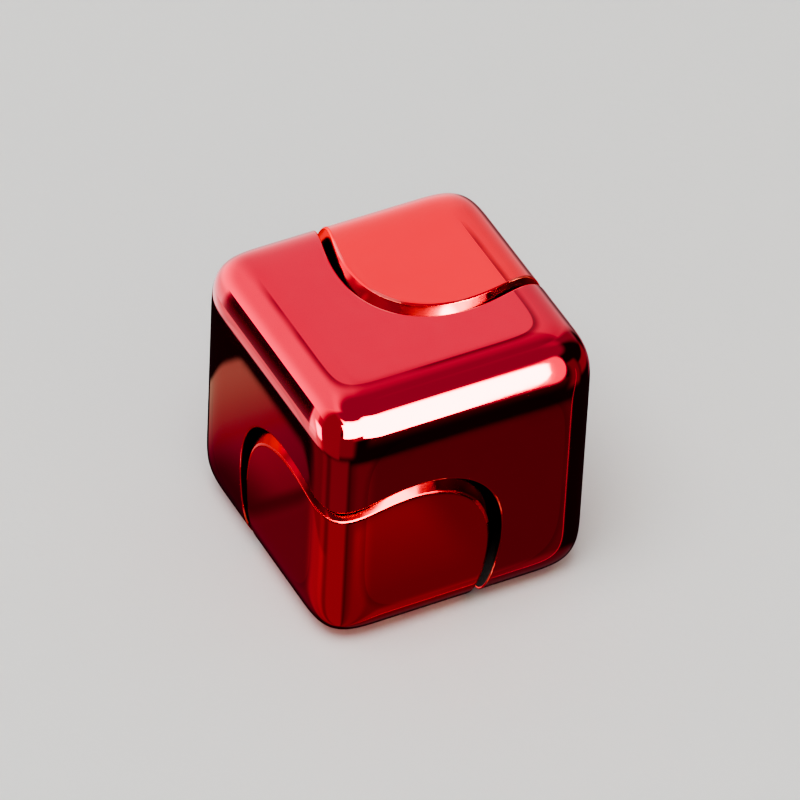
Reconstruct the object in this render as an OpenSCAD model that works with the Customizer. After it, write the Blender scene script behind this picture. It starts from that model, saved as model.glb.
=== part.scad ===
// Fingertip fidget cube: a zig-zag ring that spins between two corner caps.
//
// The cube stands on its bottom face. +Z is up, and the origin is the centre
// of that face. The spin axis is the cube's diagonal, from the low corner at
// -X -Y to the high corner at +X +Y. Every round piece is drawn along its own
// Z, with 0 at the cube's middle, and then laid on the diagonal.

/* [Cube] */
// Length of the closed cube's edge
edge = 26; // [25:0.5:28]
// Radius of the rounded edges and corners
edge_r = 3.4; // [2.4:0.1:3.8]

/* [Seam] */
// Radius of each corner cap about the spin axis
cap_r = 11; // [10.6:0.1:11.3]
// Clear gap between a cap and the ring around it
seam_gap = 0.8; // [0.5:0.05:1]

/* [Caps] */
// Distance from the cube's middle to each cap's flat back
cap_back = 4.7; // [4.6:0.05:5]
// Thickness of a hollow cap's side and face walls
cap_wall = 2; // [1.6:0.1:2.4]
// Radius of the solid boss in the middle of each cap
boss_r = 5.4; // [5.2:0.1:6]
// Height of the step by which the boss stands out of the cap's back
boss_step = 0.2; // [0.1:0.05:0.3]

/* [Ball bearing] */
// Outer diameter of the bearing
bearing_od = 22; // [21:0.25:23]
// Diameter of the bearing's bore
bearing_bore = 8; // [7:0.25:9]
// Width of the bearing
bearing_w = 7; // [7:0.25:7.5]
// Diameter of the circle through the ball centres
pitch_d = 15; // [14.8:0.1:15.2]
// Diameter of one ball
ball_d = 3.97; // [3.5:0.01:4]
// Number of balls
ball_count = 7; // [6:1:7]
// Thickness of the sheet that the cage is pressed from
cage_t = 0.4; // [0.3:0.05:0.45]
// Thickness of the sheet that the shields are pressed from
shield_t = 0.3; // [0.2:0.05:0.35]

/* [Fastening] */
// Diameter of the stud that holds the two caps together
stud_d = 4; // [3:0.5:5]
// Length of the stud
stud_len = 22; // [18:1:24]

/* [Hidden] */
BALLS = [for (k = [1:ball_count]) str("ball_", k)];
$fn = 72;

// The cube and its diagonal
flat = edge - 2 * edge_r;
diagonal_tilt = acos(1 / sqrt(3));

// The ring's bore, from wide seam to bearing seat to narrow shoulder
bore_r = cap_r + seam_gap;
seat_r = bearing_od / 2;
shoulder_r = seat_r - 1;
back_clearance = 0.4;
shoulder_t = cap_back - bearing_w / 2 - back_clearance;
lead_in = 0.3;

// The caps
boss_face = cap_back - boss_step;
cavity_r = cap_r - cap_wall;
cavity_edge = edge - 2 * cap_wall;
stub_end = 0.2;
hole_end = stud_len / 2 + 1;

// The bearing
half_w = bearing_w / 2;
race_chamfer = 0.3;
ball_r = ball_d / 2;
pitch_r = pitch_d / 2;
groove_r = 1.038 * ball_r;
groove_shift = groove_r - ball_r - 0.012;
inner_land_r = pitch_r - 0.73 * ball_r;
outer_land_r = pitch_r + 0.73 * ball_r;
recess_r = outer_land_r + 0.65;
recess_depth = 0.9;
ball_pitch = 360 / ball_count;

// The cage and its rivets
pocket_r = ball_r + 0.045;
cage_w = 1.5;
rivet_r = 0.35;
rivet_head_r = 0.55;
rivet_head_t = 0.2;

// The spacers
spacer_r = inner_land_r - 0.25;

module along_diagonal() {
    translate([0, 0, edge / 2])
        rotate([0, diagonal_tilt, 45])
            children();
}

module other_side() {
    mirror([0, 0, 1])
        children();
}

module soft_cube() {
    half = flat / 2;
    translate([0, 0, edge / 2]) {
        cube([edge, flat, flat], center = true);
        cube([flat, edge, flat], center = true);
        cube([flat, flat, edge], center = true);
        for (turn = [[0, 0, 0], [90, 0, 0], [0, 90, 0]])
            rotate(turn)
                for (x = [-half, half], y = [-half, half])
                    translate([x, y, 0])
                        cylinder(h = flat, r = edge_r, center = true);
        for (x = [-half, half], y = [-half, half], z = [-half, half])
            translate([x, y, z])
                sphere(edge_r);
    }
}

module tube(outer_r, inner_r, from, to) {
    translate([0, 0, from])
        difference() {
            cylinder(h = to - from, r = outer_r);
            translate([0, 0, -1])
                cylinder(h = to - from + 2, r = inner_r);
        }
}

module at_ball(k) {
    rotate([0, 0, k * ball_pitch])
        translate([pitch_r, 0, 0])
            children();
}

module at_each_ball() {
    for (k = [1:ball_count])
        at_ball(k)
            children();
}

// The ring's stepped bore, as the solid that it is cut with
module stepped_bore() {
    rotate_extrude()
        polygon([
            [0, -edge],
            [bore_r, -edge],
            [bore_r, -half_w - shoulder_t],
            [shoulder_r, -half_w - shoulder_t],
            [shoulder_r, -half_w],
            [seat_r, -half_w],
            [seat_r, half_w - lead_in],
            [seat_r + lead_in, half_w],
            [bore_r, half_w],
            [bore_r, edge],
            [0, edge]
        ]);
}

module spinner_body() {
    color([0.78, 0.07, 0.12])
        difference() {
            soft_cube();
            along_diagonal()
                stepped_bore();
        }
}

// A round column about the axis, chamfered where it starts
module cap_column() {
    translate([0, 0, cap_back])
        cylinder(h = lead_in, r1 = cap_r - lead_in, r2 = cap_r);
    translate([0, 0, cap_back + lead_in])
        cylinder(h = edge, r = cap_r);
}

module cap_cavity() {
    intersection() {
        translate([0, 0, edge / 2])
            cube(cavity_edge, center = true);
        along_diagonal()
            tube(cavity_r, boss_r, 0, edge);
    }
}

// The cap of the high corner; turned over, it is the cap of the low corner
module corner_cap() {
    difference() {
        union() {
            difference() {
                intersection() {
                    soft_cube();
                    along_diagonal()
                        cap_column();
                }
                cap_cavity();
            }
            along_diagonal() {
                translate([0, 0, boss_face])
                    cylinder(h = 2 * boss_step, r = boss_r);
                translate([0, 0, stub_end])
                    cylinder(h = cap_back, r = bearing_bore / 2);
            }
        }
        along_diagonal()
            cylinder(h = hole_end, r = stud_d / 2);
    }
}

module upper_cap() {
    color([0.9, 0.13, 0.14])
        corner_cap();
}

// Opposite corners swap when the cube is turned half over about the
// bottom-face diagonal that the spin axis is square to
module lower_cap() {
    color([0.62, 0.03, 0.07])
        translate([0, 0, edge / 2])
            rotate(180, [1, -1, 0])
                translate([0, 0, -edge / 2])
                    corner_cap();
}

module cap_stud() {
    color([0.6, 0.61, 0.63])
        along_diagonal() {
            point = 0.4;
            shank = stud_len - 2 * point;
            cylinder(h = shank, r = stud_d / 2, center = true);
            for (end = [0, 180])
                rotate([end, 0, 0])
                    translate([0, 0, shank / 2])
                        cylinder(h = point, r1 = stud_d / 2, r2 = stud_d / 2 - point);
        }
}

module spacer() {
    tube(spacer_r, bearing_bore / 2, half_w, boss_face);
}

module upper_spacer() {
    color([0.75, 0.6, 0.3])
        along_diagonal()
            spacer();
}

module lower_spacer() {
    color([0.75, 0.6, 0.3])
        along_diagonal()
            other_side()
                spacer();
}

module race_groove(centre_r) {
    rotate_extrude()
        translate([centre_r, 0])
            circle(groove_r);
}

module outer_race() {
    shelf = half_w - recess_depth;
    color([0.7, 0.71, 0.73])
        along_diagonal()
            difference() {
                rotate_extrude()
                    polygon([
                        [outer_land_r, -shelf],
                        [recess_r, -shelf],
                        [recess_r, -half_w],
                        [seat_r - race_chamfer, -half_w],
                        [seat_r, race_chamfer - half_w],
                        [seat_r, half_w - race_chamfer],
                        [seat_r - race_chamfer, half_w],
                        [recess_r, half_w],
                        [recess_r, shelf],
                        [outer_land_r, shelf]
                    ]);
                race_groove(pitch_r - groove_shift);
            }
}

module inner_race() {
    bore = bearing_bore / 2;
    color([0.7, 0.71, 0.73])
        along_diagonal()
            difference() {
                rotate_extrude()
                    polygon([
                        [bore + race_chamfer, -half_w],
                        [inner_land_r, -half_w],
                        [inner_land_r, half_w],
                        [bore + race_chamfer, half_w],
                        [bore, half_w - race_chamfer],
                        [bore, race_chamfer - half_w]
                    ]);
                race_groove(pitch_r + groove_shift);
            }
}

// A pressed dish: its rim sits on the outer race's shelf, and its inner
// edge turns in, clear of the inner race
module shield() {
    shelf = half_w - recess_depth;
    plate = shelf + 0.35;
    rim_w = 0.45;
    inner_r = inner_land_r + 0.3;
    rotate_extrude()
        polygon([
            [inner_r, plate - shield_t],
            [inner_r + shield_t, plate - shield_t],
            [inner_r + shield_t, plate],
            [recess_r - rim_w - shield_t, plate],
            [recess_r - rim_w, shelf],
            [recess_r, shelf],
            [recess_r, half_w - 0.2],
            [recess_r - shield_t, half_w - 0.2],
            [recess_r - shield_t, shelf + shield_t],
            [recess_r - rim_w, shelf + shield_t],
            [recess_r - rim_w - shield_t, plate + shield_t],
            [inner_r, plate + shield_t]
        ]);
}

module upper_shield() {
    color([0.8, 0.8, 0.82])
        along_diagonal()
            shield();
}

module lower_shield() {
    color([0.8, 0.8, 0.82])
        along_diagonal()
            other_side()
                shield();
}

// One half of the ribbon cage: flat lands with a domed pocket at each ball
module cage_half() {
    outer = pitch_r + cage_w / 2;
    inner = pitch_r - cage_w / 2;
    difference() {
        intersection() {
            union() {
                cylinder(h = cage_t, r = outer + 1);
                at_each_ball()
                    sphere(pocket_r + cage_t);
            }
            tube(outer, inner, 0, bearing_w);
        }
        at_each_ball()
            sphere(pocket_r);
        rotate([0, 0, ball_pitch / 2])
            at_each_ball()
                cylinder(h = bearing_w, r = rivet_r, center = true);
    }
}

module upper_cage_half() {
    color([0.72, 0.66, 0.5])
        along_diagonal()
            cage_half();
}

module lower_cage_half() {
    color([0.72, 0.66, 0.5])
        along_diagonal()
            other_side()
                cage_half();
}

module rivet() {
    cylinder(h = 2 * cage_t, r = rivet_r, center = true);
    for (end = [0, 180])
        rotate([end, 0, 0])
            translate([0, 0, cage_t])
                cylinder(h = rivet_head_t, r = rivet_head_r);
}

module cage_rivets() {
    color([0.55, 0.55, 0.57])
        along_diagonal()
            rotate([0, 0, ball_pitch / 2])
                at_each_ball()
                    rivet();
}

module ball(k) {
    color([0.85, 0.86, 0.88])
        along_diagonal()
            at_ball(k)
                sphere(ball_r);
}

spinner_body();
upper_cap();
lower_cap();
cap_stud();
upper_spacer();
lower_spacer();
outer_race();
inner_race();
upper_shield();
lower_shield();
upper_cage_half();
lower_cage_half();
cage_rivets();
for (k = [1:ball_count])
    ball(k);
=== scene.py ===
"""Looks of a fingertip fidget cube: a mirror-plated ring between two corner caps.

Everything is in the CAD's frame. The cube stands on Z = 0 with its middle
above the origin, and its spin axis is the diagonal from the low corner at
-X -Y to the high corner at +X +Y. Shapes are worked out in millimetres and
turned into metres when a mesh is made.
"""
import math

import bpy
import numpy as np
from mathutils import Matrix, Vector


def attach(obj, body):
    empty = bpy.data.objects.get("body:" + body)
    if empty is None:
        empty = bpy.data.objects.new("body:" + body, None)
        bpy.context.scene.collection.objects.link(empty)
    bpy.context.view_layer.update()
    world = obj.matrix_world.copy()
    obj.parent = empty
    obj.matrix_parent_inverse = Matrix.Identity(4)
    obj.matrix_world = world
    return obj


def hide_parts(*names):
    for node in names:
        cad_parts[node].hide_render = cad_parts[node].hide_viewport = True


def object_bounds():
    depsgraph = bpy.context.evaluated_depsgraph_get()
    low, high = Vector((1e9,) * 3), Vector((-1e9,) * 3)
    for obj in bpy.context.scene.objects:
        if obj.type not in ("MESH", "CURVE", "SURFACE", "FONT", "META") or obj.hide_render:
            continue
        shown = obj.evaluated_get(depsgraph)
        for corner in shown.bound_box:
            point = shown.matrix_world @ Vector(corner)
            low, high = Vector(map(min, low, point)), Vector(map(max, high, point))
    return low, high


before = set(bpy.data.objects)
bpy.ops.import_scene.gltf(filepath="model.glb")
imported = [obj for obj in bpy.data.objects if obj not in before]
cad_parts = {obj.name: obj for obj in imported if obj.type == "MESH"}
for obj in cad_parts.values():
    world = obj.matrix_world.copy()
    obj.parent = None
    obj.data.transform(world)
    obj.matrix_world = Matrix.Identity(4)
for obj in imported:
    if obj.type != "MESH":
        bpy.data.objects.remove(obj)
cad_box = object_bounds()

MM = 0.001
EDGE = (cad_box[1].z - cad_box[0].z) / MM
HALF = EDGE / 2

# The cube's rounding: flat faces that run into soft, slightly square blends
BLEND_R = 6.35
BLEND_POWER = 4.0

# The seams between the ring and the caps
CAP_R = 11.0
BORE_R = 11.8

# The ring's bearing seat and its shoulder
SEAT_R = 11.0
SEAT_HALF = 3.5
SHOULDER_R = 10.0
SHOULDER_END = 4.3
LEAD_IN = 0.3

# The caps' backs
CAP_BACK = 4.7
BOSS_FACE = 4.5
BOSS_R = 5.4
CAP_WALL = 2.0
STUB_R = 4.0
STUB_END = 0.2
STUD_HOLE_R = 2.0
STUD_HOLE_END = 12.0

# The polished lips along the seams: how far each runs out over the face,
# and how far it drops down the wall
RING_LIP = (0.15, 0.22)
CAP_LIP = (0.11, 0.14)

# How finely the skins are drawn
TURN_STEPS = 480
RING_STEPS = 110
TOP_STEPS = 60
WALL_STEPS = 8
LIP_STEPS = 7
BISECTIONS = 40
SHARP_ANGLE = math.radians(38)

# Each skin's materials, in this order
OUTSIDE, LIP, INSIDE = range(3)

# Columns: two directions square to the spin axis, then the axis itself
TILT = math.acos(1 / math.sqrt(3))
DIAGONAL = np.array(Matrix.Rotation(math.radians(45), 3, "Z") @ Matrix.Rotation(TILT, 3, "Y"))


# ---------------------------------------------------------------- Shapes

def blend_value(points):
    """Negative inside the softened cube, and positive outside it."""
    over = np.maximum(np.abs(points) - (HALF - BLEND_R), 0)
    return (over ** BLEND_POWER).sum(-1) ** (1 / BLEND_POWER) - BLEND_R


def on_diagonal(rho, angle, height):
    """Points from their distance to the axis, angle about it and height along it."""
    local = np.stack([rho * np.cos(angle), rho * np.sin(angle), height + 0 * angle], -1)
    return local @ DIAGONAL.T


def leaves_cube(start, step):
    """How far each line from inside the softened cube runs before it leaves it."""
    low = np.zeros(start.shape[:-1])
    high = low + 2 * EDGE
    for _ in range(BISECTIONS):
        middle = (low + high) / 2
        inside = blend_value(start + step * middle[..., None]) < 0
        low = np.where(inside, middle, low)
        high = np.where(inside, high, middle)
    return low


def face_height(rho, angle, side=1):
    """Height along the axis of the cube's surface above a point at this radius."""
    return leaves_cube(on_diagonal(rho, angle, 0.0), side * DIAGONAL[:, 2]) * side


def curve_rows(start, knee, end, count):
    """Rows of (rho, height) along a quadratic curve, both ends included."""
    rows = []
    for t in np.linspace(0, 1, count):
        weights = ((1 - t) ** 2, 2 * t * (1 - t), t * t)
        rows.append(tuple(sum(w * p[k] for w, p in zip(weights, (start, knee, end))) for k in (0, 1)))
    return rows


def straight_rows(start, end, count):
    """Rows of (rho, height) evenly along a straight line, without its last point."""
    return [
        tuple(start[k] + (end[k] - start[k]) * t for k in (0, 1))
        for t in np.linspace(0, 1, count, endpoint=False)
    ]


def lip_rows(radius, lip, angle, side, outward):
    """A seam's lip from the cube's face, over the edge and down the wall."""
    run, drop = lip
    height = face_height(radius, angle, side)
    start = (radius + outward * run, face_height(radius + outward * run, angle, side))
    return curve_rows(start, (radius, height), (radius, height - side * drop), LIP_STEPS)


def outer_rows(first, last, angle):
    """The ring's outside, from one lip to the other, by rays from the cube's middle."""
    tilt_from = np.arctan2(first[0], first[1])
    tilt_to = np.arctan2(last[0], last[1])
    rows = []
    for t in np.linspace(0, 1, RING_STEPS)[1:-1]:
        tilt = tilt_from + (tilt_to - tilt_from) * t
        ray = on_diagonal(np.sin(tilt), angle, np.cos(tilt))
        reach = leaves_cube(0 * ray, ray)
        rows.append((reach * np.sin(tilt), reach * np.cos(tilt)))
    return rows


def ring_rows(angle):
    """The ring's section, once round, and how many of its rows are outside faces."""
    upper = lip_rows(BORE_R, RING_LIP, angle, 1, 1)[::-1]
    lower = lip_rows(BORE_R, RING_LIP, angle, -1, 1)
    outside = upper + outer_rows(upper[-1], lower[0], angle) + lower
    corners = [
        lower[-1],
        (BORE_R, -SHOULDER_END),
        (SHOULDER_R, -SHOULDER_END),
        (SHOULDER_R, -SEAT_HALF),
        (SEAT_R, -SEAT_HALF),
        (SEAT_R, SEAT_HALF - LEAD_IN),
        (SEAT_R + LEAD_IN, SEAT_HALF),
        (BORE_R, SEAT_HALF),
        upper[0],
    ]
    inside = []
    for start, end in zip(corners, corners[1:]):
        inside += straight_rows(start, end, WALL_STEPS)
    return outside + inside[1:], len(outside)


def cavity_ceiling(rho, angle):
    """Height of the hollow's ceiling, which follows the cube's faces a wall's depth in."""
    step = DIAGONAL[:, 2]
    start = on_diagonal(rho, angle, 0.0)
    return ((HALF - CAP_WALL - start) / step).min(-1)


def cap_rows(angle):
    """A cap's section from its corner to the bottom of its stud hole."""
    lip = lip_rows(CAP_R, CAP_LIP, angle, 1, -1)
    top = []
    for rho in np.linspace(0, lip[0][0], TOP_STEPS, endpoint=False)[1:]:
        top.append((rho, face_height(rho, angle)))
    ceiling_r = CAP_R - CAP_WALL
    corners = [
        lip[-1],
        (CAP_R, CAP_BACK + LEAD_IN),
        (CAP_R - LEAD_IN, CAP_BACK),
        (ceiling_r, CAP_BACK),
        (ceiling_r, cavity_ceiling(ceiling_r, angle)),
        (BOSS_R, cavity_ceiling(BOSS_R, angle)),
        (BOSS_R, BOSS_FACE),
        (STUB_R, BOSS_FACE),
        (STUB_R, STUB_END),
        (STUD_HOLE_R, STUB_END),
        (STUD_HOLE_R, STUD_HOLE_END),
    ]
    inside = []
    for start, end in zip(corners, corners[1:]):
        inside += straight_rows(start, end, WALL_STEPS)
    outside = top + lip
    return outside + inside[1:] + [corners[-1]], len(outside)


def turn_angles():
    """The angles of the columns of points, once round the axis."""
    return np.linspace(0, 2 * math.pi, TURN_STEPS, endpoint=False)


def row_points(rows, angle):
    """Every row's points as one array, in the cube's own axes about its middle."""
    return np.concatenate([on_diagonal(rho + 0 * angle, angle, height) for rho, height in rows])


def band_faces(row_count, closed):
    """Quads between neighbouring rows, once round the axis."""
    spans = row_count if closed else row_count - 1
    row, step = np.meshgrid(np.arange(spans), np.arange(TURN_STEPS), indexing="ij")
    below, beside = (row + 1) % row_count, (step + 1) % TURN_STEPS
    corners = [(row, step), (below, step), (below, beside), (row, beside)]
    return np.stack([r * TURN_STEPS + s for r, s in corners], -1).reshape(-1, 4).tolist()


def pole_faces(pole, row, flip):
    """Triangles from one row to a point on the axis."""
    faces = []
    for step in range(TURN_STEPS):
        pair = [row * TURN_STEPS + step, row * TURN_STEPS + (step + 1) % TURN_STEPS]
        faces.append([pole] + (pair[::-1] if flip else pair))
    return faces


def skin_piece(name, points, faces, materials, zones):
    """A smooth piece from points in millimetres; zones has each band's place in the materials."""
    mesh = bpy.data.meshes.new(name)
    mesh.from_pydata((points * MM + [0, 0, HALF * MM]).tolist(), [], faces)
    mesh.shade_smooth()
    mesh.set_sharp_from_angle(angle=SHARP_ANGLE)
    for material in materials:
        mesh.materials.append(material)
    mesh.polygons.foreach_set("material_index", np.repeat(zones, TURN_STEPS).astype(np.int32))
    mesh.update()
    piece = bpy.data.objects.new(name, mesh)
    bpy.context.scene.collection.objects.link(piece)
    return piece


def make_ring(materials):
    """The zig-zag ring: its lips and outside faces, then its seat and shoulder."""
    angle = turn_angles()
    rows, outside = ring_rows(angle)
    lip = [LIP] * (LIP_STEPS - 1)
    zones = lip + [OUTSIDE] * (outside - 1 - 2 * len(lip)) + lip
    zones += [INSIDE] * (len(rows) - len(zones))
    faces = band_faces(len(rows), closed=True)
    return skin_piece("plated_ring", row_points(rows, angle), faces, materials, zones)


def make_cap(name, materials, turned):
    """A corner cap; turned over, it is the cap of the low corner."""
    angle = turn_angles()
    rows, outside = cap_rows(angle)
    tip = face_height(0.0, np.zeros(1))[0]
    poles = on_diagonal(np.zeros(2), np.zeros(2), np.array([tip, STUD_HOLE_END]))
    points = np.concatenate([row_points(rows, angle), poles])
    if turned:
        half_turn = DIAGONAL @ np.diag([-1, 1, -1]) @ DIAGONAL.T
        points = points @ half_turn.T
    count = len(rows) * TURN_STEPS
    faces = pole_faces(count, 0, flip=False) + band_faces(len(rows), closed=False)
    faces += pole_faces(count + 1, len(rows) - 1, flip=True)
    zones = [OUTSIDE] * (outside - LIP_STEPS + 1) + [LIP] * (LIP_STEPS - 1)
    zones += [INSIDE] * (len(rows) + 1 - len(zones))
    return skin_piece(name, points, faces, materials, zones)


# ----------------------------------------------------------------- Nodes

def node(tree, kind, inputs=None, **settings):
    """A new node with its settings, and each input set or linked."""
    made = tree.nodes.new("ShaderNode" + kind)
    for key, value in settings.items():
        setattr(made, key, value)
    for key, value in (inputs or {}).items():
        if isinstance(value, bpy.types.NodeSocket):
            tree.links.new(value, made.inputs[key])
        else:
            made.inputs[key].default_value = value
    return made


def maths(tree, operation, *values):
    """The result of one operation on numbers or sockets."""
    return node(tree, "Math", dict(enumerate(values)), operation=operation).outputs[0]


def product(tree, *factors):
    """All the factors, multiplied together."""
    total = factors[0]
    for factor in factors[1:]:
        total = maths(tree, "MULTIPLY", total, factor)
    return total


def spread(tree, value, low, high, to_low=0.0, to_high=1.0, smooth=False):
    """The value's range from low to high, stretched to a new range and held beyond it."""
    inputs = {"Value": value, "From Min": low, "From Max": high, "To Min": to_low, "To Max": to_high}
    kind = "SMOOTHSTEP" if smooth else "LINEAR"
    return node(tree, "MapRange", inputs, interpolation_type=kind).outputs[0]


def fade(tree, value, start, end):
    """0 at the start and 1 at the end, smoothly; the start may be the larger."""
    return spread(tree, value, start, end, smooth=True)


def window(tree, value, low, high, soft):
    """1 between low and high, and 0 beyond them, with edges this soft on either side."""
    rise = fade(tree, value, low - soft[0], low + soft[0])
    fall = fade(tree, value, high + soft[1], high - soft[1])
    return product(tree, rise, fall)


def dimmed(tree, mask, level):
    """1 where a mask is 0, and this level where it is 1."""
    return spread(tree, mask, 0.0, 1.0, 1.0, level)


def axes_in_mm(tree, vector):
    """A vector's X, Y and Z in millimetres."""
    split = node(tree, "SeparateXYZ", {0: vector}).outputs
    return [maths(tree, "DIVIDE", split[axis], MM) for axis in "XYZ"]


def noise(tree, coords, wavelength, detail=2.0, roughness=0.5):
    """Noise whose bumps are about this many millimetres apart."""
    inputs = {"Vector": coords, "Scale": 1 / (wavelength * MM), "Detail": detail, "Roughness": roughness}
    return node(tree, "TexNoise", inputs).outputs["Fac"]


def blend(tree, factor, first, second):
    """A mix of two colours, each a socket or an (r, g, b)."""
    made = node(tree, "Mix", data_type="RGBA")
    for index, value in ((0, factor), (6, first), (7, second)):
        if isinstance(value, bpy.types.NodeSocket):
            tree.links.new(value, made.inputs[index])
        else:
            made.inputs[index].default_value = (*value, 1) if index else value
    return made.outputs[2]


def bump(tree, height, depth, normal=None):
    """Bumps this many millimetres deep."""
    inputs = {"Height": height, "Strength": 1.0, "Distance": depth * MM}
    if normal is not None:
        inputs["Normal"] = normal
    return node(tree, "Bump", inputs).outputs["Normal"]


def new_material(name):
    """A material, its nodes and its shader."""
    material = bpy.data.materials.new(name)
    material.use_nodes = True
    tree = material.node_tree
    return material, tree, tree.nodes["Principled BSDF"]


def set_inputs(shader, **values):
    """Sets constants on the shader's own sockets; an underscore stands for a space."""
    for key, value in values.items():
        shader.inputs[key.replace("_", " ")].default_value = value


def feed(tree, shader, **sockets):
    """Links sockets to the shader's; an underscore stands for a space."""
    for key, socket in sockets.items():
        tree.links.new(socket, shader.inputs[key.replace("_", " ")])


def darker(colour, share):
    """A colour with every channel cut to this share."""
    return tuple(share * c for c in colour)


# ------------------------------------------------------------- Materials

# The dark lines along the flats' edges: how wide each is, and the depth of face that it lies on
LINE_RISE = 0.12
LINE_END = 0.75
FACE_DEPTHS = (0.9, 0.5)
# The lines' middles and half widths on the top face and on the four side faces
TOP_LINE = ((-0.5, 0.6), (9.5, 9.2), 9.0)
SIDE_LINE = ((0.0, 0.0), (9.4, 9.6), 5.0)
SIDE_LINE_STRENGTH = 0.35

# What a metal reflects at a glancing angle, against its own colour: red, where bare
# metal would go white
EDGE_TINT_WALL = (1.0, 0.1, 0.12, 1.0)
EDGE_TINT_LIP = (1.0, 0.2, 0.22, 1.0)


def flat_edge_line(tree, across, along, out, middle, reach, corner):
    """A thin dark line round one pair of faces, painted where the flat turns into its blend.

    The line is a square with soft corners; middle and reach are its middle
    and half its width, across and along the face.
    """
    parts = []
    for value, centre, half_width in zip((across, along), middle, reach):
        offset = maths(tree, "SUBTRACT", value, centre)
        share = maths(tree, "ABSOLUTE", maths(tree, "DIVIDE", offset, half_width))
        parts.append(maths(tree, "POWER", share, corner))
    size = maths(tree, "POWER", maths(tree, "ADD", *parts), 1 / corner)
    beyond = maths(tree, "MULTIPLY", maths(tree, "SUBTRACT", size, 1.0), reach[0])
    rise = fade(tree, beyond, 0.0, LINE_RISE)
    fall = fade(tree, beyond, LINE_END, LINE_RISE)
    near_face, at_face = FACE_DEPTHS
    on_face = spread(tree, maths(tree, "ABSOLUTE", out), HALF - near_face, HALF - at_face)
    return product(tree, rise, fall, on_face)


def flat_edge_lines(tree, coords):
    """The lines on all the faces, faint in some places and missing at the back of the top."""
    cube_middle = {0: coords, 1: (0.0, 0.0, HALF * MM)}
    x, y, z = axes_in_mm(tree, node(tree, "VectorMath", cube_middle, operation="SUBTRACT").outputs[0])
    top = product(tree, flat_edge_line(tree, x, y, z, *TOP_LINE), fade(tree, y, 8.0, 3.0))
    ends = flat_edge_line(tree, x, z, y, *SIDE_LINE)
    sides = flat_edge_line(tree, y, z, x, *SIDE_LINE)
    upright = maths(tree, "MULTIPLY", maths(tree, "MAXIMUM", ends, sides), SIDE_LINE_STRENGTH)
    unevenness = spread(tree, noise(tree, coords, 8.0, detail=1.0), 0.38, 0.55, 0.45, 1.0)
    return product(tree, maths(tree, "MAXIMUM", top, upright), unevenness)


def mirror_plating(name, tint):
    """Red electroplate under clear lacquer: nearly a mirror, with a slow wave and fine orange peel."""
    material, tree, shader = new_material(name)
    coords = node(tree, "TexCoord").outputs["Object"]
    cloud = noise(tree, coords, 5.0, detail=3.0)
    colour = blend(tree, cloud, darker(tint, 0.94), tint)
    # A thin dark line painted along each flat's edge, where it turns into its blend
    colour = blend(tree, flat_edge_lines(tree, coords), colour, darker(tint, 0.3))
    smears = noise(tree, coords, 1.6, detail=4.0, roughness=0.6)
    waves = bump(tree, noise(tree, coords, 7.0, detail=1.0), 0.006)
    peel = bump(tree, noise(tree, coords, 0.7, detail=2.0), 0.0006, waves)
    roughness = spread(tree, smears, 0.3, 0.75, 0.03, 0.07)
    feed(tree, shader, Base_Color=colour, Roughness=roughness, Normal=peel, Coat_Normal=waves)
    set_inputs(shader, Metallic=1.0, Coat_Weight=1.0, Coat_Roughness=0.02, Coat_IOR=1.18)
    return material


def rubbed_lip(name, tint, bare):
    """Where the plating is rubbed thin on an edge: lighter, duller, and uneven along its length."""
    material, tree, shader = new_material(name)
    coords = node(tree, "TexCoord").outputs["Object"]
    rubbing = fade(tree, noise(tree, coords, 3.5, detail=1.0), 0.36, 0.62)
    nicks = noise(tree, coords, 0.3, detail=2.0)
    feed(
        tree, shader, Base_Color=blend(tree, rubbing, tint, bare),
        Roughness=spread(tree, rubbing, 0.0, 1.0, 0.16, 0.36),
        Normal=bump(tree, nicks, 0.002),
    )
    set_inputs(shader, Metallic=1.0, Coat_Weight=0.4, Coat_Roughness=0.1, Coat_IOR=1.2)
    set_inputs(shader, Specular_Tint=EDGE_TINT_LIP)
    return material


def seam_wall(name, tint, shift):
    """A cap's wall in the seam: plating with dark patches of painted shade, which break up its reflections.
    """
    material, tree, shader = new_material(name)
    coords = node(tree, "TexCoord").outputs["Object"]
    moved = node(tree, "Mapping", {"Vector": coords, "Location": (shift * MM, 0.0, 0.0)}).outputs[0]
    # Painted shade: dark patches that dim and break up the wall's highlights; shift moves them along the
    # wall
    unshaded = fade(tree, noise(tree, moved, 3.0, detail=1.0), 0.38, 0.60)
    ripples = bump(tree, noise(tree, moved, 2.2, detail=1.0), 0.06)
    feed(
        tree, shader, Base_Color=blend(tree, unshaded, darker(tint, 0.35), tint),
        Roughness=spread(tree, unshaded, 0.0, 1.0, 0.22, 0.08),
        Normal=bump(tree, noise(tree, coords, 0.7), 0.004, ripples),
    )
    set_inputs(shader, Metallic=1.0, Specular_Tint=EDGE_TINT_WALL)
    return material


def dark_bore(name, tint):
    """The ring's bore, painted almost black as the shade deep in the seam, with turned lines."""
    material, tree, shader = new_material(name)
    coords = node(tree, "TexCoord").outputs["Object"]
    stains = noise(tree, coords, 2.5, detail=3.0)
    stretched = node(tree, "Mapping", {"Vector": coords, "Scale": (1.0, 1.0, 5.0)}).outputs[0]
    lines = noise(tree, stretched, 0.4)
    feed(
        tree, shader, Base_Color=blend(tree, stains, darker(tint, 0.5), tint),
        Roughness=spread(tree, lines, 0.3, 0.7, 0.42, 0.6),
        Normal=bump(tree, lines, 0.003),
    )
    set_inputs(shader, Metallic=0.0, Specular_IOR_Level=0.02)
    return material


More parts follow.
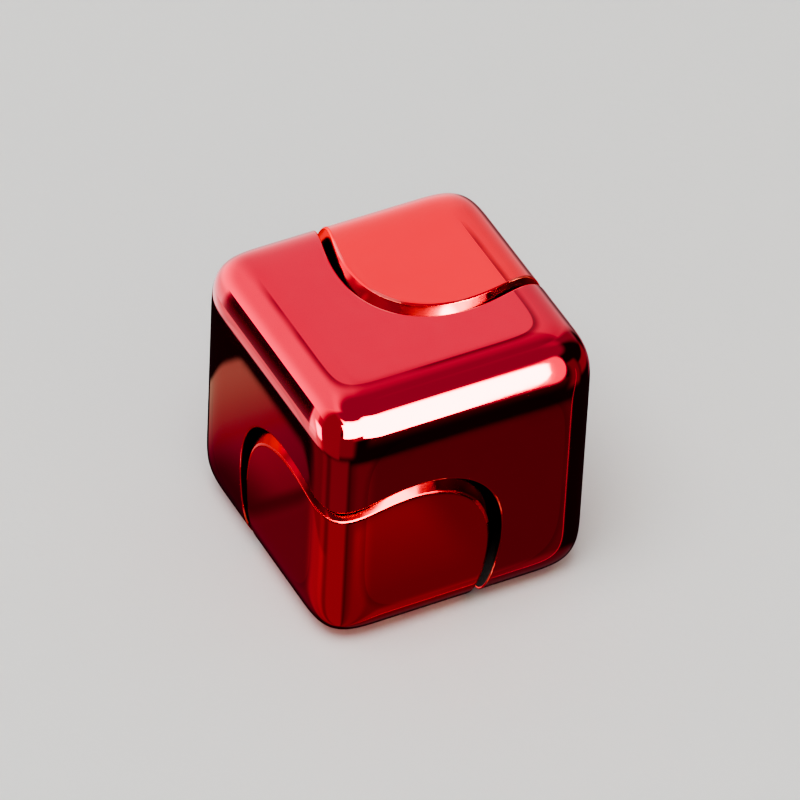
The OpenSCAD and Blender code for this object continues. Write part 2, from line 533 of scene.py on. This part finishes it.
def ground_steel(name, tint, rough):
    """Turned and ground metal: fine lines along one axis and faint clouding."""
    material, tree, shader = new_material(name)
    coords = node(tree, "TexCoord").outputs["Object"]
    stretched = node(tree, "Mapping", {"Vector": coords, "Scale": (1.0, 1.0, 6.0)}).outputs[0]
    marks = noise(tree, stretched, 0.25, detail=3.0)
    feed(
        tree, shader, Base_Color=blend(tree, noise(tree, coords, 3.0), darker(tint, 0.82), tint),
        Roughness=spread(tree, marks, 0.3, 0.7, rough * 0.7, rough * 1.4),
        Normal=bump(tree, marks, 0.002),
    )
    set_inputs(shader, Metallic=1.0)
    return material


def seen_in_plating(tree):
    """1 for what the camera sees mirrored in the plating, and 0 for all other light."""
    path = node(tree, "LightPath").outputs
    direct = maths(tree, "LESS_THAN", path["Diffuse Depth"], 0.5)
    return maths(tree, "MULTIPLY", path["Is Glossy Ray"], direct)


def pale_floor():
    """Matt seamless paper; the plating sees through it to the studio, and sees only the glowing patches
    painted on it.
    """
    material, tree, shader = new_material("paper_floor")
    coords = node(tree, "TexCoord").outputs["Object"]
    colour = blend(tree, noise(tree, coords, 90.0), (0.70, 0.695, 0.69), (0.74, 0.735, 0.73))
    feed(tree, shader, Base_Color=colour, Normal=bump(tree, noise(tree, coords, 0.8, detail=4.0), 0.03))
    set_inputs(shader, Roughness=0.85, Specular_IOR_Level=0.2)
    # What the plating sees here: the studio through the floor, plus a painted glow that stands for light
    # reflected off the floor
    clear = node(tree, "BsdfTransparent").outputs[0]
    mirrored = node(tree, "AddShader", {0: clear, 1: painted_floor_glow(tree, coords)}).outputs[0]
    mixed = node(tree, "MixShader", {0: seen_in_plating(tree), 1: shader.outputs[0], 2: mirrored})
    tree.links.new(mixed.outputs[0], tree.nodes["Material Output"].inputs["Surface"])
    return material


def left_patch(tree, across, away):
    """A painted glow on the floor left of the cube, seen only in the plating as a reflection: dim and rosy
    nearby, warmer further back.
    """
    patch = product(
        tree,
        window(tree, across, -23.5, -13.2, (0.5, 0.8)),
        window(tree, away, -10.0, 24.6, (3.0, 0.6)),
        spread(tree, away, 4.0, 23.0, 0.14, 0.42),
    )
    # Painted shade: the glow is dimmed in a patch near the cube and along a narrow band
    near = product(tree, window(tree, away, 6.6, 15.0, (1.0, 3.5)), fade(tree, across, -19.5, -15.0))
    band = window(tree, away, 5.2, 7.0, (0.9, 0.7))
    level = product(tree, patch, dimmed(tree, near, 0.25), dimmed(tree, band, 0.42))
    colour = blend(tree, fade(tree, away, 13.0, 24.0), (1.0, 0.08, 0.25), (1.0, 0.85, 0.55))
    return node(tree, "Emission", {"Color": colour, "Strength": level}).outputs[0]


def front_patch(tree, across, away):
    """A painted glow on the floor in front of the cube, seen only in the plating as a reflection: faint and
    deep red.
    """
    level = product(
        tree,
        window(tree, across, -10.0, 4.0, (2.0, 2.0)),
        window(tree, away, -27.5, -15.0, (0.8, 3.0)),
        spread(tree, away, -18.0, -26.0, 0.01, 0.10),
    )
    return node(tree, "Emission", {"Color": (1.0, 0.1, 0.1, 1.0), "Strength": level}).outputs[0]


def painted_floor_glow(tree, coords):
    """A painted soft red glow on the floor, seen only in the plating, placed in millimetres from the cube's
    middle.
    """
    across, away, _ = axes_in_mm(tree, coords)
    patches = {0: left_patch(tree, across, away), 1: front_patch(tree, across, away)}
    return node(tree, "AddShader", patches).outputs[0]


# ----------------------------------------------------------------- Stage

# The camera looks at the cube from the photograph's side and height
CAMERA_AZIMUTH = -28.99
CAMERA_ELEVATION = 41.83
CAMERA_ROLL = 3.0
CAMERA_DISTANCE = 0.7285
FOCAL_LENGTH = 379.3
# How far the cube's middle lies left of and below the centre of the view
AIM_LEFT = 0.00033
AIM_DOWN = 0.00086

FLOOR_REACH = 3.0


def make_camera():
    """The photograph's view of the cube, along a line a little off the cube's middle."""
    azimuth, elevation = math.radians(CAMERA_AZIMUTH), math.radians(CAMERA_ELEVATION)
    back = Vector((
        math.sin(azimuth) * math.cos(elevation),
        -math.cos(azimuth) * math.cos(elevation),
        math.sin(elevation),
    ))
    turn = back.to_track_quat("Z", "Y").to_matrix().to_4x4()
    turn = turn @ Matrix.Rotation(math.radians(CAMERA_ROLL), 4, "Z")
    offset = turn @ Vector((AIM_LEFT, AIM_DOWN, CAMERA_DISTANCE))
    data = bpy.data.cameras.new("camera")
    data.lens = FOCAL_LENGTH
    camera = bpy.data.objects.new("camera", data)
    camera.matrix_world = Matrix.Translation(Vector((0, 0, HALF * MM)) + offset) @ turn
    bpy.context.scene.collection.objects.link(camera)
    bpy.context.scene.camera = camera


def make_floor():
    """A wide sheet of paper at the height that the cube stands on."""
    mesh = bpy.data.meshes.new("floor")
    signs = ((-1, -1), (1, -1), (1, 1), (-1, 1))
    corners = [(FLOOR_REACH * x, FLOOR_REACH * y, 0) for x, y in signs]
    mesh.from_pydata(corners, [], [(0, 1, 2, 3)])
    mesh.materials.append(pale_floor())
    floor = bpy.data.objects.new("floor", mesh)
    bpy.context.scene.collection.objects.link(floor)


def sky_angles(tree):
    """Where a direction points: its height, its bearings from +Y and from -Y, its X and its Y."""
    direction = node(tree, "TexCoord").outputs["Generated"]
    split = node(tree, "SeparateXYZ", {0: direction}).outputs
    back_x = maths(tree, "MULTIPLY", split["X"], -1.0)
    back_y = maths(tree, "MULTIPLY", split["Y"], -1.0)
    return {
        "height": maths(tree, "DEGREES", maths(tree, "ARCSINE", split["Z"])),
        "behind": maths(tree, "DEGREES", maths(tree, "ARCTAN2", split["X"], split["Y"])),
        "front": maths(tree, "DEGREES", maths(tree, "ARCTAN2", back_x, back_y)),
        "x": split["X"],
        "y": split["Y"],
    }


def add_glow(tree, total, level, colour, *masks):
    """The light so far, plus this level of a colour wherever every mask is 1."""
    light = tuple(level * c for c in colour)
    inputs = {0: product(tree, *masks), 1: light, 2: total}
    return node(tree, "VectorMath", inputs, operation="MULTIPLY_ADD").outputs[0]


def add_panel(tree, total, level, colour, *spans):
    """The light so far, plus a soft-edged panel; each span is a value, low, high and softness."""
    return add_glow(tree, total, level, colour, *(window(tree, *span) for span in spans))


# The lights' colours
WHITE = (1.0, 0.95, 0.95)
CREAM = (1.0, 1.0, 0.55)
PINK = (1.0, 0.7, 0.75)
SALMON = (1.0, 0.45, 0.48)
PALE_ROSE = (1.0, 0.6, 0.6)
ROSE = (1.0, 0.3, 0.4)

# What the plating sees where there is no light, and the plain room for every other ray
DARK_ROOM = (0.015, 0.006, 0.008)
STUDIO_STRENGTH = 1.17
PALE_ROOM = (0.8, 0.8, 0.8, 1.0)
ROOM_STRENGTH = 0.55

# The back light's lower edge: where it dims, its rosy stripe and its hard end
STRIPE_LOW = -38.9
STRIPE_HIGH = -31.6

# The softbox: its level, and the X of the directions at its left end, low down and
# high up, and at its right end
SOFTBOX_LEVEL = 52.0
LEFT_LOW = -0.7
LEFT_HIGH = -0.58
LEFT_SOFT = 0.04
RIGHT_CLEAR = 0.4
RIGHT_FULL = 0.388
# Where its right end starts to round off, and by how much that moves its sill and top
ROUNDING_START = 0.366
SILL_ROUNDING = 24.0
TOP_ROUNDING = -9.0


def back_light_level(tree, sky):
    """How bright the back light is above the horizon: most low on the left, least up on the right."""
    height, behind = sky["height"], sky["behind"]
    slant = maths(tree, "MULTIPLY_ADD", behind, 0.15, height)
    step = product(tree, fade(tree, height, 42.8, 45.0), spread(tree, behind, 24.0, 31.0))
    left_glow = product(tree, fade(tree, height, 40.0, 12.0), spread(tree, behind, 12.0, -20.0))
    right_glow = product(tree, spread(tree, height, 30.0, 0.0), spread(tree, behind, 34.0, 26.0))
    return product(
        tree,
        fade(tree, slant, 64.0, 51.0),
        dimmed(tree, step, 0.66),
        spread(tree, behind, 16.0, -12.0, 1.15, 1.65, smooth=True),
        dimmed(tree, left_glow, 1.35),
        dimmed(tree, right_glow, 1.3),
        spread(tree, behind, 30.0, 47.0, 1.0, 0.7, smooth=True),
    )


def below_horizon(tree, sky):
    """How the back light dims below the horizon; on the right it stops sooner than on the left."""
    height, behind = sky["height"], sky["behind"]
    right_end = product(tree, spread(tree, height, -2.0, -19.0), spread(tree, behind, 32.0, 37.0))
    low_left = product(tree, fade(tree, height, 5.0, 2.0), spread(tree, behind, -47.0, -52.0))
    return product(
        tree,
        spread(tree, height, 3.0, -14.0, 1.0, 0.6, smooth=True),
        spread(tree, height, -39.3, -38.5),
        dimmed(tree, right_end, 0.12),
        dimmed(tree, low_left, 0.3),
    )


def dark_upright(tree, sky):
    """The shade of a dark upright just left of the back light, from the horizon down."""
    height = sky["height"]
    upright = product(
        tree,
        window(tree, sky["y"], 0.638, 0.69, (0.006, 0.025)),
        spread(tree, sky["x"], 0.0, -0.1),
        window(tree, height, STRIPE_HIGH, 3.0, (0.8, 0.8)),
    )
    shade = spread(tree, height, -12.0, -31.0, 0.01, 0.14)
    return maths(tree, "MULTIPLY_ADD", upright, maths(tree, "SUBTRACT", shade, 1.0), 1.0)


def add_back_light(tree, sky, total):
    """The ceiling, and a wide light behind the cube with a rosy stripe along its foot."""
    height, behind = sky["height"], sky["behind"]
    total = add_glow(tree, total, 0.38, WHITE, fade(tree, height, 47.0, 58.0))
    sides = product(tree, fade(tree, behind, -68.0, -48.0), fade(tree, behind, 56.0, 50.0))
    stripe = window(tree, height, STRIPE_LOW, STRIPE_HIGH, (0.4, 0.8))
    stripe = product(tree, stripe, spread(tree, behind, -20.0, -34.0))
    total = add_glow(tree, total, 0.85, SALMON, stripe, sides)
    masks = back_light_level(tree, sky), sides, below_horizon(tree, sky), dimmed(tree, stripe, 0.2)
    return add_glow(tree, total, 1.0, WHITE, *masks, dark_upright(tree, sky))


def softbox_face(tree, sky, rounding):
    """The softbox's bright face, between its sill and its top."""
    height, across, front = sky["height"], sky["x"], sky["front"]
    sill = spread(tree, front, -20.0, 8.0, -14.0, 0.0)
    sill = maths(tree, "MULTIPLY_ADD", rounding, SILL_ROUNDING, sill)
    lift = product(
        tree,
        spread(tree, front, -36.0, -20.0, 0.0, 9.0, smooth=True),
        spread(tree, front, -12.0, 0.0, 1.0, 0.45),
        spread(tree, front, 45.0, 60.0, 1.0, 0.0),
    )
    lift = maths(tree, "MULTIPLY_ADD", rounding, TOP_ROUNDING, lift)
    left_end = spread(tree, height, 38.0, 44.0, LEFT_LOW, LEFT_HIGH)
    return product(
        tree,
        fade(tree, maths(tree, "SUBTRACT", across, left_end), -LEFT_SOFT, LEFT_SOFT),
        fade(tree, across, RIGHT_CLEAR, RIGHT_FULL),
        fade(tree, maths(tree, "SUBTRACT", height, sill), -1.0, 1.0),
        fade(tree, maths(tree, "SUBTRACT", height, lift), 57.0, 46.0),
    )


def add_softbox(tree, sky, total):
    """The big front softbox, rounded on its right, where a pink fringe runs round it."""
    height, across, front = sky["height"], sky["x"], sky["front"]
    ahead = spread(tree, sky["y"], 0.0, -0.1)
    rounding = fade(tree, across, ROUNDING_START, 0.396)
    # Nothing bright lies straight ahead at the cube's own height
    gap_across = window(tree, front, -4.0, 8.0, (1.0, 1.0))
    gap = product(tree, gap_across, window(tree, height, -12.0, 1.2, (0.8, 0.8)))
    face = softbox_face(tree, sky, rounding)
    total = add_glow(tree, total, SOFTBOX_LEVEL, CREAM, face, ahead, dimmed(tree, gap, 0.0))

    # The fringe is an ellipse round the softbox's right end
    aside = maths(tree, "DIVIDE", maths(tree, "SUBTRACT", across, 0.40), 0.16)
    aloft = maths(tree, "DIVIDE", maths(tree, "SUBTRACT", height, 20.0), 38.0)
    out = maths(tree, "MULTIPLY_ADD", aside, aside, maths(tree, "MULTIPLY", aloft, aloft))
    fringe = product(tree, fade(tree, out, 1.2, 0.75), fade(tree, across, 0.362, 0.385))
    return add_glow(tree, total, 2.2, PINK, fringe, ahead)


def add_left_side(tree, sky, total):
    """A dim red wall on the left, and a small bright light low beside the back light."""
    height, behind, front = sky["height"], sky["behind"], sky["front"]
    wall = (behind, -124.0, -51.0, (5.0, 2.0)), (height, -38.0, 55.0, (1.0, 6.0))
    total = add_panel(tree, total, 0.38, ROSE, *wall)
    spot = (behind, -61.5, -52.0, (1.5, 1.5)), (height, -31.0, -16.0, (2.0, 3.0))
    total = add_panel(tree, total, 9.0, WHITE, *spot)
    halo = product(
        tree,
        window(tree, sky["y"], 0.56, 0.636, (0.02, 0.004)),
        window(tree, height, -36.0, 3.0, (2.0, 3.0)),
        spread(tree, sky["x"], 0.0, -0.1),
    )
    total = add_glow(tree, total, 1.1, PINK, halo)

    # Further down: deep red with two dimmer gaps
    near_gap = dimmed(tree, window(tree, front, 88.0, 104.0, (7.0, 6.0)), 0.5)
    far_gap = dimmed(tree, window(tree, front, 118.0, 137.0, (5.0, 4.0)), 0.72)
    floor = product(tree, fade(tree, height, -37.0, -40.5), window(tree, front, 22.0, 141.0, (7.0, 8.0)))
    return add_glow(tree, total, 0.27, ROSE, floor, near_gap, far_gap)


def add_right_side(tree, sky, total):
    """The right-hand wall, dim above and red along the horizon."""
    height, behind = sky["height"], sky["behind"]
    wall = (behind, 52.0, 68.0, (3.0, 7.0)), (height, 4.0, 60.0, (6.0, 6.0))
    total = add_panel(tree, total, 0.3, WHITE, *wall)
    horizon = (behind, 68.0, 118.0, (8.0, 6.0)), (height, -23.0, 4.0, (5.0, 4.0))
    total = add_panel(tree, total, 0.32, ROSE, *horizon)
    floor = (behind, 36.0, 70.0, (3.0, 8.0)), (height, -38.0, -22.0, (1.5, 2.5))
    total = add_panel(tree, total, 0.3, ROSE, *floor)
    stand = (behind, 122.0, 142.0, (6.0, 5.0)), (height, -32.0, 24.0, (4.0, 5.0))
    return add_panel(tree, total, 0.24, ROSE, *stand)


def add_front_below(tree, sky, total):
    """In front and under the softbox: dim red along the horizon, then dark, then a dull red floor."""
    height, front = sky["height"], sky["front"]
    ahead = (front, -14.0, 14.0, (4.0, 6.0)), (height, -9.0, 8.0, (4.0, 3.0))
    total = add_panel(tree, total, 0.5, ROSE, *ahead)
    left_of_it = (front, 10.0, 56.0, (8.0, 5.0)), (height, -36.0, 4.0, (3.0, 4.0))
    total = add_panel(tree, total, 0.28, ROSE, *left_of_it)
    under = product(
        tree,
        window(tree, front, -34.0, -12.0, (4.0, 5.0)),
        spread(tree, height, -12.0, -16.0),
        fade(tree, height, -33.0, -15.0),
    )
    total = add_glow(tree, total, 0.09, ROSE, under)

    # The floor, and further down a faint pink one
    floor = fade(tree, height, -39.5, -42.0)
    total = add_glow(tree, total, 0.13, ROSE, floor, window(tree, front, -49.0, 16.0, (1.0, 9.0)))
    total = add_glow(tree, total, 0.06, ROSE, floor, window(tree, front, -22.0, 2.0, (4.0, 8.0)))
    pink = product(tree, window(tree, front, -110.0, -34.0, (10.0, 3.0)), spread(tree, height, -48.0, -53.0))
    total = add_glow(tree, total, 0.1, PINK, pink)

    # A thin bright upright, which draws the light line down the right edge
    upright = (front, -47.9, -46.9, (0.4, 0.4)), (height, -70.0, -5.0, (5.0, 5.0))
    return add_panel(tree, total, 0.8, PALE_ROSE, *upright)


def make_studio():
    """What the mirror plating sees; every other ray sees a plain pale background.

    Bearings are degrees from straight behind the cube, or, for front ones,
    from straight in front of it. Heights are degrees above the horizon.
    """
    world = bpy.data.worlds.new("studio")
    bpy.context.scene.world = world
    world.use_nodes = True
    tree = world.node_tree
    tree.nodes.clear()
    sky = sky_angles(tree)
    total = DARK_ROOM
    for add_part in (add_back_light, add_softbox, add_left_side, add_right_side, add_front_below):
        total = add_part(tree, sky, total)
    seen = node(tree, "Background", {"Color": total, "Strength": STUDIO_STRENGTH}).outputs[0]
    plain = node(tree, "Background", {"Color": PALE_ROOM, "Strength": ROOM_STRENGTH}).outputs[0]
    mixed = node(tree, "MixShader", {0: seen_in_plating(tree), 1: plain, 2: seen}).outputs[0]
    node(tree, "OutputWorld", {"Surface": mixed})


def make_lamp(name, place, size, power):
    """A round soft lamp aimed at the cube's middle, which the plating doesn't mirror."""
    data = bpy.data.lights.new(name, "AREA")
    data.shape = "DISK"
    data.size = size
    data.energy = power
    lamp = bpy.data.objects.new(name, data)
    lamp.location = place
    aim = Vector((0, 0, HALF * MM)) - Vector(place)
    lamp.rotation_euler = aim.to_track_quat("-Z", "Y").to_euler()
    lamp.visible_glossy = False
    bpy.context.scene.collection.objects.link(lamp)


# ------------------------------------------------------------------ Build

def paint(names, material):
    """Gives these CAD nodes a finish."""
    for name in names:
        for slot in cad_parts[name].material_slots:
            slot.material = material


# The reds of the plating: on the ring, on the caps and rubbed thin; then darker reds and a black, which are
# painted shade in the seams
RING_RED = (0.70, 0.006, 0.042)
CAP_RED = (0.99, 0.005, 0.028)
BARE_RED = (0.95, 0.14, 0.15)
# Plating red darkened as painted shade on the seam walls
SEAM_SHADE_RED = (0.60, 0.012, 0.030)
# Darker still: painted shade on the lower cap's lip and wall
LOWER_SEAM_SHADE_RED = (0.25, 0.004, 0.012)
# Near black: painted shade deep in the ring's bore
BORE_SHADE_BLACK = (0.004, 0.002, 0.0025)

# The metals inside
STEEL = (0.60, 0.61, 0.63)
ZINC_STEEL = (0.55, 0.56, 0.60)
BRASS = (0.80, 0.58, 0.26)
SHIELD_STEEL = (0.68, 0.69, 0.70)
CAGE_STEEL = (0.62, 0.60, 0.56)
CHROME_STEEL = (0.75, 0.76, 0.78)

ring = make_ring([
    mirror_plating("ring_plate", RING_RED),
    rubbed_lip("ring_lip", RING_RED, BARE_RED),
    dark_bore("ring_bore", BORE_SHADE_BLACK),
])
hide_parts("spinner_body")
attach(ring, "spinner")

cap_plate = mirror_plating("cap_plate", CAP_RED)
upper_lip = rubbed_lip("upper_lip", CAP_RED, BARE_RED)
# The seam walls and the lower lip are darker copies of the plating: painted shade in the seams
shaded_upper_wall = seam_wall("shaded_upper_wall", SEAM_SHADE_RED, 4.0)
shaded_lower_lip = rubbed_lip("shaded_lower_lip", LOWER_SEAM_SHADE_RED, darker(SEAM_SHADE_RED, 0.6))
shaded_lower_wall = seam_wall("shaded_lower_wall", LOWER_SEAM_SHADE_RED, 7.0)
for cap_name, cad_name, finishes, is_turned in (
    ("plated_upper_cap", "upper_cap", [cap_plate, upper_lip, shaded_upper_wall], False),
    ("plated_lower_cap", "lower_cap", [cap_plate, shaded_lower_lip, shaded_lower_wall], True),
):
    cap = make_cap(cap_name, finishes, is_turned)
    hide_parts(cad_name)
    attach(cap, "core")

balls = [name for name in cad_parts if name.startswith("ball_")]
cage = ["upper_cage_half", "lower_cage_half", "cage_rivets"]
paint(["cap_stud"], ground_steel("stud_zinc", ZINC_STEEL, 0.35))
paint(["upper_spacer", "lower_spacer"], ground_steel("turned_brass", BRASS, 0.28))
paint(["outer_race", "inner_race"], ground_steel("ground_race", STEEL, 0.22))
paint(["upper_shield", "lower_shield"], ground_steel("pressed_shield", SHIELD_STEEL, 0.3))
paint(cage, ground_steel("pressed_cage", CAGE_STEEL, 0.38))
paint(balls, ground_steel("lapped_ball", CHROME_STEEL, 0.08))

make_camera()
make_floor()
make_studio()
make_lamp("top_light", (-0.25, -0.15, 0.9), 0.7, 9.0)
bpy.context.scene.view_settings.look = "AgX - Medium High Contrast"
